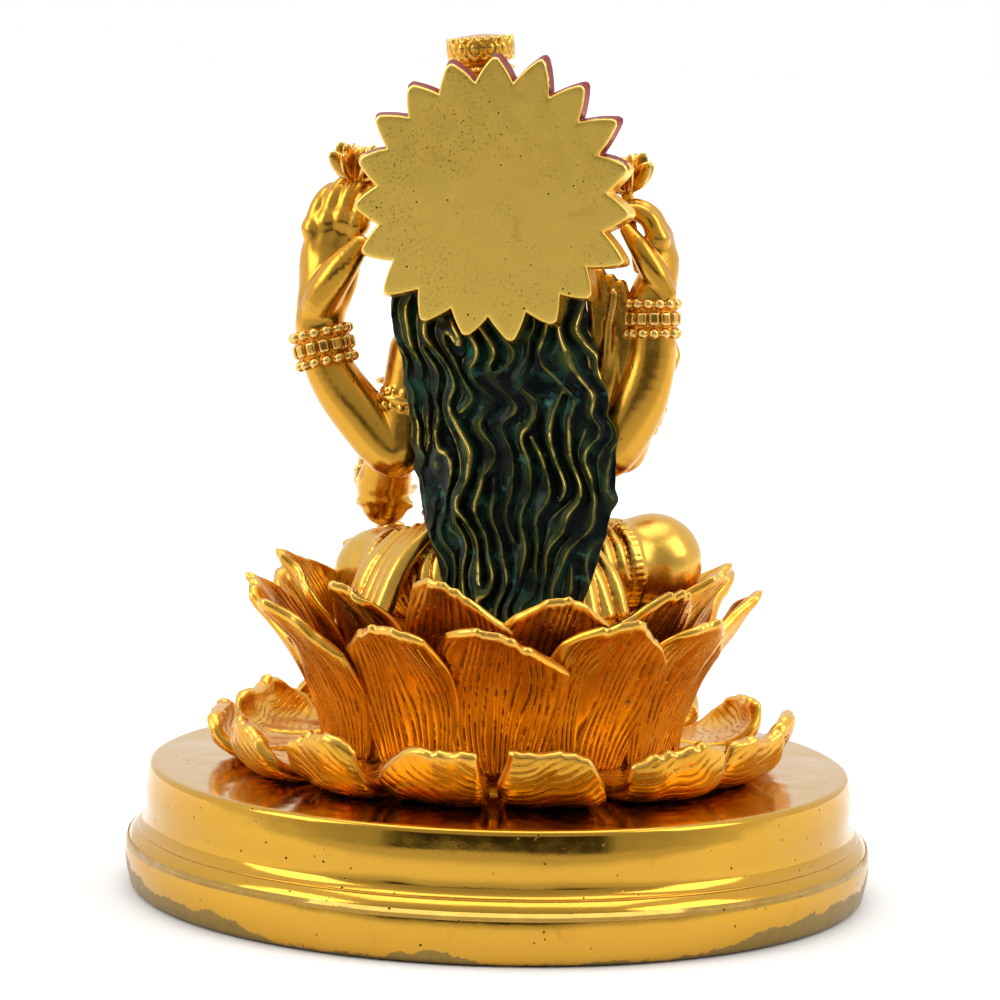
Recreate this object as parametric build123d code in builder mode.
"""A seated four-armed goddess figurine on a lotus throne and a round stepped plinth.

Millimetres, +Z up, the figure faces -Y, and the origin is the centre of the underside.
Left and right are the figure's own, so its left side is on +X.
"""

import os
from math import cos, pi, radians, sin, tan

from build123d import *

os.makedirs("parts", exist_ok=True)

# ---------------------------------------------------------------- driving dimensions
PLINTH_R = 35.0  # largest radius, at the foot moulding
DRUM_R = 33.1  # radius of the upper drum
FOOT_R = 33.6  # radius where the foot meets the table
GROOVE_R = 32.6  # radius of the cove between drum and foot moulding
PLINTH_TOP = 11.6  # height of the drum's top
GROOVE_Z = 6.4  # height of the cove
FOOT_BULGE_Z = 3.6  # height of the foot moulding's widest line
PAD_R = 31.0
PAD_T = 0.8

SEAT_Z = 24.8  # top of the lotus, where the figure sits
LOWER_COUNT, OUTER_COUNT, INNER_COUNT = 14, 12, 12
BACK_ANGLE = 100.0  # direction of the rear gap or petal that the rings are set out from
PETAL_GAP = 0.35  # half the gap between neighbouring petals

WAIST_Z = 33.6  # joint between legs and torso
NECK_Z = 54.4  # joint between torso and head
SHOULDER_Z = 50.3

HALO_Z = 64.8
HALO_TIP_R = 13.2
HALO_VALLEY_R = 10.7
HALO_RAYS = 19
HALO_BACK_Y = 8.2  # rear face of the sun disc
HALO_T = 2.0

FIGURE_X = 0.8  # the figure sits this far towards its own left of the plinth's axis
HEAD_LEAN = 5.5  # the head and crown lean towards the figure's left, in degrees
TOTAL_H = 80.0

PEG_CLEARANCE = 0.08  # radial, in every peg and socket
TOUCH = 0.3  # gap between a bangle and the arm inside it


def export(part, name, shift_x=0.0):
    """Labels a finished piece, moves it sideways and writes it as its own file."""
    placed = part.moved(Location((shift_x, 0, 0)))
    placed.label = name
    export_step(placed, f"parts/{name}.step")


def polar(radius, angle, z=0.0):
    """A point at this radius and direction from the central axis."""
    return Vector(radius * cos(radians(angle)), radius * sin(radians(angle)), z)


def limb(start, end, start_r, end_r):
    """A round tapered rod with round ends, made outside the part that it joins."""
    start, end = Vector(*start), Vector(*end)
    along = (end - start).normalized()
    across = along.cross(Vector(0.31, -0.17, 0.93)).normalized()
    length = (end - start).length
    with BuildPart() as rod:
        with BuildSketch(Plane(origin=start, x_dir=across, z_dir=across.cross(along))):
            with BuildLine():
                Line((0, -start_r), (0, length + end_r))
                RadiusArc((0, length + end_r), (end_r, length), end_r)
                Line((end_r, length), (start_r, 0))
                RadiusArc((start_r, 0), (0, -start_r), start_r)
            make_face()
        revolve(axis=Axis(start, along))
    return rod.part


def spheroid(centre, axis, long_r, cross_r):
    """An ellipsoid of revolution with half length long_r along axis."""
    centre, axis = Vector(*centre), Vector(*axis).normalized()
    across = axis.cross(Vector(0.31, -0.17, 0.93)).normalized()
    with BuildPart() as body:
        with BuildSketch(Plane(origin=centre, x_dir=across, z_dir=across.cross(axis))):
            Ellipse(cross_r, long_r)
            with Locations((-cross_r, 0)):
                Rectangle(2 * cross_r, 3 * long_r, mode=Mode.SUBTRACT)
        revolve(axis=Axis(centre, axis))
    return body.part


# ---------------------------------------------------------------- plinth and its pad
CORE_SPIGOT_R, CORE_SPIGOT_L = 8.0, 4.0

with BuildPart() as plinth:
    with BuildSketch(Plane.XZ):
        with BuildLine():
            Polyline((0, PAD_T), (PAD_R + 0.1, PAD_T), (PAD_R + 0.1, 0), (FOOT_R, 0))
            TangentArc((PLINTH_R, FOOT_BULGE_Z), (FOOT_R, 0), tangent=(0, -1))
            TangentArc(
                (PLINTH_R, FOOT_BULGE_Z), (GROOVE_R + 0.7, GROOVE_Z - 0.3), tangent=(0, 1)
            )
            RadiusArc((GROOVE_R + 0.7, GROOVE_Z - 0.3), (GROOVE_R, GROOVE_Z + 0.6), 1.0)
            ThreePointArc(
                (GROOVE_R, GROOVE_Z + 0.6),
                (DRUM_R - 0.05, (GROOVE_Z + PLINTH_TOP) / 2 + 0.6),
                (DRUM_R - 0.4, PLINTH_TOP - 0.15),
            )
            Polyline((DRUM_R - 0.4, PLINTH_TOP - 0.15), (DRUM_R - 0.8, PLINTH_TOP), (0, PLINTH_TOP))
            Line((0, PLINTH_TOP), (0, PAD_T))
        make_face()
    revolve(axis=Axis.Z)
    with Locations((0, 0, PLINTH_TOP)):
        Hole(CORE_SPIGOT_R + PEG_CLEARANCE, depth=CORE_SPIGOT_L + 0.3)
export(plinth.part, "plinth")

with BuildPart() as base_pad:
    Cylinder(PAD_R, PAD_T, align=(Align.CENTER, Align.CENTER, Align.MIN))
export(base_pad.part, "base_pad")

# ---------------------------------------------------------------- lotus throne
PETAL_T = 1.0
LOWER_FLAT_Z = PLINTH_TOP + 0.55  # middle of the lower petals where they lie flat
OUTER_ROOT, OUTER_MID, OUTER_TIP = (15.9, 13.9), (18.6, 20.6), (25.0, 27.4)
INNER_ROOT, INNER_MID, INNER_TIP = (14.0, 15.9), (16.9, 22.4), (22.2, 28.8)
CORE_FOOT_R = 16.3
OUTER_LEDGE_Z, INNER_LEDGE_Z = 13.4, 15.4

with BuildPart() as lotus_core:
    with BuildSketch(Plane.XZ):
        with BuildLine():
            Polyline(
                (0, PLINTH_TOP - CORE_SPIGOT_L),
                (CORE_SPIGOT_R, PLINTH_TOP - CORE_SPIGOT_L),
                (CORE_SPIGOT_R, PLINTH_TOP),
                (CORE_FOOT_R, PLINTH_TOP),
                (CORE_FOOT_R, OUTER_LEDGE_Z),
                (OUTER_ROOT[0] - 0.9, OUTER_LEDGE_Z),
                (OUTER_ROOT[0] - 0.9, INNER_LEDGE_Z),
                (INNER_ROOT[0] - 0.9, INNER_LEDGE_Z),
            )
            ThreePointArc(
                (INNER_ROOT[0] - 0.9, INNER_LEDGE_Z),
                (INNER_MID[0] - 2.3, 20.4),
                (INNER_MID[0] - 0.5, SEAT_Z - 0.6),
            )
            Polyline(
                (INNER_MID[0] - 0.5, SEAT_Z - 0.6), (INNER_MID[0] - 1.1, SEAT_Z), (0, SEAT_Z)
            )
            Line((0, SEAT_Z), (0, PLINTH_TOP - CORE_SPIGOT_L))
        make_face()
    revolve(axis=Axis.Z)
    with Locations((FIGURE_X, 0, SEAT_Z)):
        Hole(4.0 + PEG_CLEARANCE, depth=3.3)
export(lotus_core.part, "lotus_core")


def upright_petal(root, mid, tip, ledge_z, count, thickness=PETAL_T):
    """A leaning petal on the +X side: a band revolved about Z and cut to a pointed outline."""
    half_step = tan(pi / count)

    def half_width(radius, share=1.0):
        return share * (radius * half_step - PETAL_GAP)

    with BuildPart() as petal:
        with BuildSketch(Plane.XZ):
            with BuildLine():
                ThreePointArc(root, mid, tip)
            trace(line_width=thickness)
        revolve(axis=Axis.Z)
        with BuildSketch(Plane.YZ):
            with BuildLine() as outline:
                Polyline(
                    (half_width(mid[0], 0.93), mid[1]),
                    (half_width(root[0]), ledge_z),
                    (-half_width(root[0]), ledge_z),
                    (-half_width(mid[0], 0.93), mid[1]),
                )
                Spline(
                    (-half_width(mid[0], 0.93), mid[1]),
                    (-half_width(tip[0], 0.62), tip[1] - 2.2),
                    (0, tip[1] + 0.2),
                    (half_width(tip[0], 0.62), tip[1] - 2.2),
                    (half_width(mid[0], 0.93), mid[1]),
                )
            make_face()
        extrude(amount=tip[0] + 5, mode=Mode.INTERSECT)
    return petal.part


def lower_petal(count=LOWER_COUNT, root_r=16.5, bend_r=20.4, tip=(27.0, 17.4)):
    """A petal that lies on the plinth and curls up at its tip, on the +X side."""
    half_step = tan(pi / count)
    with BuildPart() as petal:
        with BuildSketch(Plane.XZ):
            with BuildLine():
                flat = Line((root_r, LOWER_FLAT_Z), (bend_r, LOWER_FLAT_Z))
                TangentArc((bend_r, LOWER_FLAT_Z), tip, tangent=flat % 1)
            trace(line_width=1.1)
        revolve(axis=Axis.Z)
        with BuildSketch(Plane.XY):
            with BuildLine():
                wide_r = 23.5
                Polyline(
                    (wide_r, wide_r * half_step - PETAL_GAP),
                    (root_r, root_r * half_step - PETAL_GAP),
                    (root_r, PETAL_GAP - root_r * half_step),
                    (wide_r, PETAL_GAP - wide_r * half_step),
                )
                Spline(
                    (wide_r, PETAL_GAP - wide_r * half_step),
                    (tip[0] - 0.6, -0.62 * tip[0] * half_step),
                    (tip[0] + 0.4, 0),
                    (tip[0] - 0.6, 0.62 * tip[0] * half_step),
                    (wide_r, wide_r * half_step - PETAL_GAP),
                )
            make_face()
        extrude(amount=30, mode=Mode.INTERSECT)
    return petal.part


RINGS = (
    ("lower_petal", lower_petal(), LOWER_COUNT, 180.0 / LOWER_COUNT),
    (
        "outer_petal",
        upright_petal(OUTER_ROOT, OUTER_MID, OUTER_TIP, OUTER_LEDGE_Z, OUTER_COUNT),
        OUTER_COUNT,
        0.0,
    ),
    (
        "inner_petal",
        upright_petal(INNER_ROOT, INNER_MID, INNER_TIP, INNER_LEDGE_Z, INNER_COUNT),
        INNER_COUNT,
        180.0 / INNER_COUNT,
    ),
)
for ring_name, ring_petal, ring_count, ring_phase in RINGS:
    for petal_index in range(ring_count):
        petal_angle = BACK_ANGLE + ring_phase + petal_index * 360.0 / ring_count
        export(ring_petal.rotate(Axis.Z, petal_angle), f"{ring_name}_{petal_index + 1:02d}")

# ---------------------------------------------------------------- figure: torso
WAIST = (5.6, 4.0)  # half width and half depth
CHEST = (7.6, 4.6)
SHOULDERS = (8.6, 3.8)
NECK_R = 2.4
PEG_R, PEG_L = 2.2, 3.0

with BuildPart() as torso:
    for section_z, (half_x, half_y) in (
        (WAIST_Z, (6.6, 4.6)),
        (38.0, WAIST),
        (46.5, CHEST),
        (SHOULDER_Z, SHOULDERS),
        (52.4, (5.4, 3.0)),
        (NECK_Z, (NECK_R, NECK_R)),
    ):
        with BuildSketch(Plane.XY.offset(section_z)):
            Ellipse(half_x, half_y)
    loft()
    with Locations((0, 0, WAIST_Z)):
        Cylinder(PEG_R, PEG_L, align=(Align.CENTER, Align.CENTER, Align.MAX))
    with Locations((0, 0, NECK_Z)):
        Hole(1.3 + PEG_CLEARANCE, depth=2.3)

# ---------------------------------------------------------------- figure: crossed legs
KNEE = (12.8, -7.4, 29.6)  # left knee's centre; the right one is its mirror image
KNEE_R = 4.5

with BuildPart() as crossed_legs:
    add(spheroid((0, 0.6, 29.2), (0, 0, 1), 5.6, 10.2))
    for side in (1, -1):
        hip, knee = (side * 4.6, -0.4, 29.4), (side * KNEE[0], KNEE[1], KNEE[2])
        add(limb(hip, knee, 4.8, KNEE_R))
        add(limb(knee, (-side * 2.6, -12.3, 28.0), 4.0, 2.6))
    with BuildSketch(Plane.XY.offset(SEAT_Z)):
        Circle(30)
    extrude(amount=WAIST_Z - SEAT_Z, mode=Mode.INTERSECT)
    with Locations((0, 0, WAIST_Z)):
        Hole(PEG_R + PEG_CLEARANCE, depth=PEG_L + 0.3)
    with Locations((0, 0, SEAT_Z)):
        Cylinder(4.0, 3.0, align=(Align.CENTER, Align.CENTER, Align.MAX))
export(crossed_legs.part, "crossed_legs", FIGURE_X)

# ---------------------------------------------------------------- figure: head and crown
NECK_POINT = Vector(0.6, -0.6, NECK_Z)
LEAN = Vector(sin(radians(HEAD_LEAN)), 0, cos(radians(HEAD_LEAN)))
HEAD_H = 12.0
CROWN_Z = 10.0  # height of the crown's base up the leaning axis
FINIAL_R, FINIAL_H = 3.3, 2.6
# The finial's raised edge is the highest point of the whole figurine.
FINIAL_RISE = TOTAL_H - NECK_Z - 0.82 * FINIAL_R * sin(radians(HEAD_LEAN))
FINIAL_Z = FINIAL_RISE / cos(radians(HEAD_LEAN)) - FINIAL_H


def up_the_neck(height, forward=0.0):
    """A point this far up the leaning axis of the head and crown."""
    return NECK_POINT + LEAN * height + Vector(0, -forward, 0)


def crown_plane(height):
    return Plane(origin=up_the_neck(height, 0.6), x_dir=(0, -1, 0), z_dir=LEAN)


with BuildPart() as head:
    add(spheroid(up_the_neck(6.8, 0.8), LEAN, 5.9, 4.6))
    add(limb(up_the_neck(1.2), up_the_neck(4.5, 0.4), 2.3, 2.2))
    with BuildSketch(Plane.XY.offset(NECK_Z)):
        Circle(20)
    extrude(amount=HEAD_H + 6, mode=Mode.INTERSECT)
    with BuildSketch(crown_plane(CROWN_Z)):
        Circle(20)
    extrude(amount=10, mode=Mode.SUBTRACT)
    with Locations((0, 0, NECK_Z)):
        Cylinder(1.3, 2.0, align=(Align.CENTER, Align.CENTER, Align.MAX))
    with Locations(crown_plane(CROWN_Z)):
        Cylinder(1.6, 2.0, align=(Align.CENTER, Align.CENTER, Align.MIN))

with BuildPart() as crown:
    # Stepped cone: brow band, two tiers and a neck for the finial.
    with BuildSketch(crown_plane(CROWN_Z) * Plane.XZ):
        with BuildLine():
            Polyline((0, 0), (5.0, 0), (5.1, 1.8), (4.3, 2.2))
            Line((4.3, 2.2), (4.5, 4.8))
            Polyline((4.5, 4.8), (3.6, 5.2), (3.6, 8.0), (2.7, 8.4), (2.2, FINIAL_Z - CROWN_Z))
            Polyline((2.2, FINIAL_Z - CROWN_Z), (0, FINIAL_Z - CROWN_Z), (0, 0))
        make_face()
    revolve(axis=Axis(crown_plane(CROWN_Z).origin, LEAN))
    with Locations(crown_plane(CROWN_Z)):
        Cylinder(
            1.6 + PEG_CLEARANCE,
            2.3,
            align=(Align.CENTER, Align.CENTER, Align.MIN),
            mode=Mode.SUBTRACT,
        )
    with Locations(crown_plane(FINIAL_Z)):
        Cylinder(
            1.0 + PEG_CLEARANCE,
            1.8,
            align=(Align.CENTER, Align.CENTER, Align.MAX),
            mode=Mode.SUBTRACT,
        )

with BuildPart() as crown_finial:
    with Locations(crown_plane(FINIAL_Z)):
        Cylinder(1.0, 1.5, align=(Align.CENTER, Align.CENTER, Align.MAX))
        Cone(0.8 * FINIAL_R, FINIAL_R, 1.0, align=(Align.CENTER, Align.CENTER, Align.MIN))
    with Locations(crown_plane(FINIAL_Z + 1.0)):
        Cone(
            FINIAL_R,
            0.82 * FINIAL_R,
            FINIAL_H - 1.0,
            align=(Align.CENTER, Align.CENTER, Align.MIN),
        )
export(crown_finial.part, "crown_finial", FIGURE_X)

# ---------------------------------------------------------------- figure: arms
REAR_SHOULDER = (7.6, 1.6, 50.0)
REAR_ELBOW = {1: (9.4, 3.2, 40.9), -1: (-10.8, 3.2, 41.8)}
REAR_WRIST = {1: (17.4, 2.4, 52.0), -1: (-15.1, 2.4, 56.0)}
REAR_PALM = {1: (16.6, 1.6, 58.0), -1: (-14.2, 1.6, 60.4)}
REAR_FINGERS = {1: (15.0, -0.6, 63.4), -1: (-12.2, -0.6, 63.8)}
FRONT_SHOULDER = (7.9, -1.6, 50.4)
FRONT_ELBOW = {1: (11.7, -3.4, 39.0), -1: (-10.8, -3.8, 41.4)}
LEFT_FRONT_WRIST, LEFT_FRONT_PALM = (13.2, -10.2, 37.5), (13.6, -14.0, 36.4)
RIGHT_FRONT_WRIST, RIGHT_FRONT_PALM = (-11.6, -11.0, 45.6), (-11.4, -11.8, 50.6)
FOREARM_R, WRIST_R = 2.7, 2.1


def arm(shoulder, elbow, wrist, palm, fingers=None):
    """Upper arm, forearm and a plain mitten of a hand as one piece."""
    with BuildPart() as whole:
        add(limb(shoulder, elbow, 2.9, FOREARM_R + 0.1))
        add(limb(elbow, wrist, FOREARM_R, WRIST_R))
        add(limb(wrist, palm, WRIST_R + 0.1, 2.6))
        if fingers:
            add(limb(palm, fingers, 2.4, 1.6))
    return whole.part


def mirrored(point, side):
    return (side * point[0], point[1], point[2])


rear_arms = {
    side: arm(
        mirrored(REAR_SHOULDER, side),
        REAR_ELBOW[side],
        REAR_WRIST[side],
        REAR_PALM[side],
        REAR_FINGERS[side],
    )
    for side in (1, -1)
}
front_arms = {
    1: arm(FRONT_SHOULDER, FRONT_ELBOW[1], LEFT_FRONT_WRIST, LEFT_FRONT_PALM),
    -1: arm(
        mirrored(FRONT_SHOULDER, -1),
        FRONT_ELBOW[-1],
        RIGHT_FRONT_WRIST,
        RIGHT_FRONT_PALM,
        (-11.2, -12.2, 54.2),
    ),
}

export(torso.part, "torso", FIGURE_X)
SIDE_NAMES = {1: "left", -1: "right"}
for side, side_name in SIDE_NAMES.items():
    with BuildPart() as front_arm:
        add(front_arms[side])
        add(torso.part, mode=Mode.SUBTRACT)
        add(crossed_legs.part, mode=Mode.SUBTRACT)
    front_arms[side] = front_arm.part
    export(front_arm.part, f"front_arm_{side_name}", FIGURE_X)
    with BuildPart() as rear_arm:
        add(rear_arms[side])
        add(torso.part, mode=Mode.SUBTRACT)
        add(front_arm.part, mode=Mode.SUBTRACT)
    rear_arms[side] = rear_arm.part
    export(rear_arm.part, f"rear_arm_{side_name}", FIGURE_X)

# ---------------------------------------------------------------- figure: bangles
BANGLE_W = 3.6
BANGLE_R = 3.3


def bangle(elbow, wrist, share):
    """A wide ring round the forearm, at this share of the way from elbow to wrist."""
    elbow, wrist = Vector(*elbow), Vector(*wrist)
    along = (wrist - elbow).normalized()
    centre = elbow + (wrist - elbow) * share
    bore = FOREARM_R + (WRIST_R - FOREARM_R) * (share - 0.5 * BANGLE_W / (wrist - elbow).length)
    with BuildPart() as ring:
        with Locations(Plane(origin=centre, z_dir=along)):
            Cylinder(BANGLE_R, BANGLE_W)
            Cylinder(bore + TOUCH, BANGLE_W * 2, mode=Mode.SUBTRACT)
        chamfer(ring.edges().filter_by(GeomType.CIRCLE).sort_by(SortBy.RADIUS)[-2:], 0.4)
    return ring.part


bangle_rings = [
    bangle(REAR_ELBOW[1], REAR_WRIST[1], 0.8),
    bangle(REAR_ELBOW[-1], REAR_WRIST[-1], 0.84),
    bangle(FRONT_ELBOW[1], LEFT_FRONT_WRIST, 0.7),
    bangle(FRONT_ELBOW[-1], RIGHT_FRONT_WRIST, 0.66),
]
worn_rings = [ring.moved(Location((FIGURE_X, 0, 0))) for ring in bangle_rings]
export(Compound(children=worn_rings), "bangles")

# ---------------------------------------------------------------- sun disc behind the head
with BuildPart() as halo_disc:
    with BuildSketch(Plane(origin=(-0.1, HALO_BACK_Y, HALO_Z), x_dir=(1, 0, 0), z_dir=(0, -1, 0))):
        with BuildLine():
            star = [
                (radius * sin(angle), radius * cos(angle))
                for ray in range(HALO_RAYS)
                for radius, angle in (
                    (HALO_TIP_R, 2 * pi * ray / HALO_RAYS),
                    (HALO_VALLEY_R, 2 * pi * (ray + 0.5) / HALO_RAYS),
                )
            ]
            Polyline(*star, close=True)
        make_face()
    extrude(amount=HALO_T)
export(halo_disc.part, "halo_disc", FIGURE_X)
HALO_FRONT_Y = HALO_BACK_Y - HALO_T

# ---------------------------------------------------------------- hair
with BuildPart() as hair_panel:
    # One row per height: left edge, right edge, rear surface.
    for hair_z, left_x, right_x, rear_y in (
        (58.0, 8.6, -8.6, 6.0),
        (51.0, 9.3, -10.2, 7.6),
        (43.5, 7.9, -11.7, 8.6),
        (37.5, 7.2, -11.5, 9.6),
        (31.0, 5.2, -10.6, 11.4),
        (26.6, 3.4, -8.6, 12.6),
    ):
        with BuildSketch(Plane.XY.offset(hair_z)):
            with Locations(((left_x + right_x) / 2, rear_y - 1.7)):
                RectangleRounded(left_x - right_x, 3.4, 1.5)
    loft()
    add(torso.part, mode=Mode.SUBTRACT)
    add(head.part, mode=Mode.SUBTRACT)
    for side in (1, -1):
        add(rear_arms[side], mode=Mode.SUBTRACT)
    add(crossed_legs.part, mode=Mode.SUBTRACT)
    add(halo_disc.part, mode=Mode.SUBTRACT)
export(hair_panel.part, "hair_panel", FIGURE_X)
export(head.part, "head", FIGURE_X)
export(crown.part, "crown", FIGURE_X)

# ---------------------------------------------------------------- jewellery and attributes
with BuildPart() as necklace:
    # A collar of thirteen beads that follows the upper chest.
    for bead_index in range(13):
        bead_angle = -pi / 2 + (bead_index - 6) * radians(17)
        bead_drop = 3.4 * sin(pi * bead_index / 12) ** 2
        with Locations((5.3 * cos(bead_angle), 4.9 * sin(bead_angle), 52.4 - bead_drop)):
            Sphere(0.62)
    add(torso.part, mode=Mode.SUBTRACT)
export(necklace.part, "necklace", FIGURE_X)

with BuildPart() as earrings:
    for side in (1, -1):
        with Locations(up_the_neck(4.6, 0.8) + Vector(side * 4.9, 0, -side * 0.4)):
            Sphere(1.0)
    add(head.part, mode=Mode.SUBTRACT)
export(earrings.part, "earrings", FIGURE_X)


def held_lotus(centre, side):
    """A lotus bud and its short stalk, held beside the sun disc."""
    x, y, z = centre
    with BuildPart() as bud:
        add(spheroid(centre, (-side * 0.25, 0, 1), 3.3, 2.3))
        add(limb((x + side * 0.8, y, z - 3.2), (x + side * 1.6, y + 0.4, z - 8.0), 0.9, 0.6))
        add(rear_arms[side], mode=Mode.SUBTRACT)
        add(halo_disc.part, mode=Mode.SUBTRACT)
    return bud.part


export(held_lotus((14.0, 0.0, 67.2), 1), "held_lotus_left", FIGURE_X)
export(held_lotus((-11.6, 0.0, 67.2), -1), "held_lotus_right", FIGURE_X)

with BuildPart() as waist_belt:
    with BuildSketch(Plane.XY.offset(WAIST_Z + 0.5)):
        Ellipse(7.1, 5.2)
    extrude(amount=1.7)
    chamfer(waist_belt.edges(), 0.3)
    add(torso.part, mode=Mode.SUBTRACT)
export(waist_belt.part, "waist_belt", FIGURE_X)

COIN_R, COIN_T = 1.5, 0.5
with BuildPart() as coins:
    for coin_index in range(5):
        coin_drop = 0.75 * coin_index
        with Locations((13.9 - 0.4 * coin_drop, -16.4 + 0.3 * coin_drop, 32.6 - coin_drop)):
            Cylinder(COIN_R, COIN_T, rotation=(12 * coin_index, 25, 0))
    # The coins are cast on one thin stem that ends in the palm.
    add(limb((13.9, -15.6, 33.6), (12.8, -15.5, 29.8), 0.7, 0.5))
    add(front_arms[1], mode=Mode.SUBTRACT)
    add(crossed_legs.part, mode=Mode.SUBTRACT)
export(coins.part, "coins", FIGURE_X)
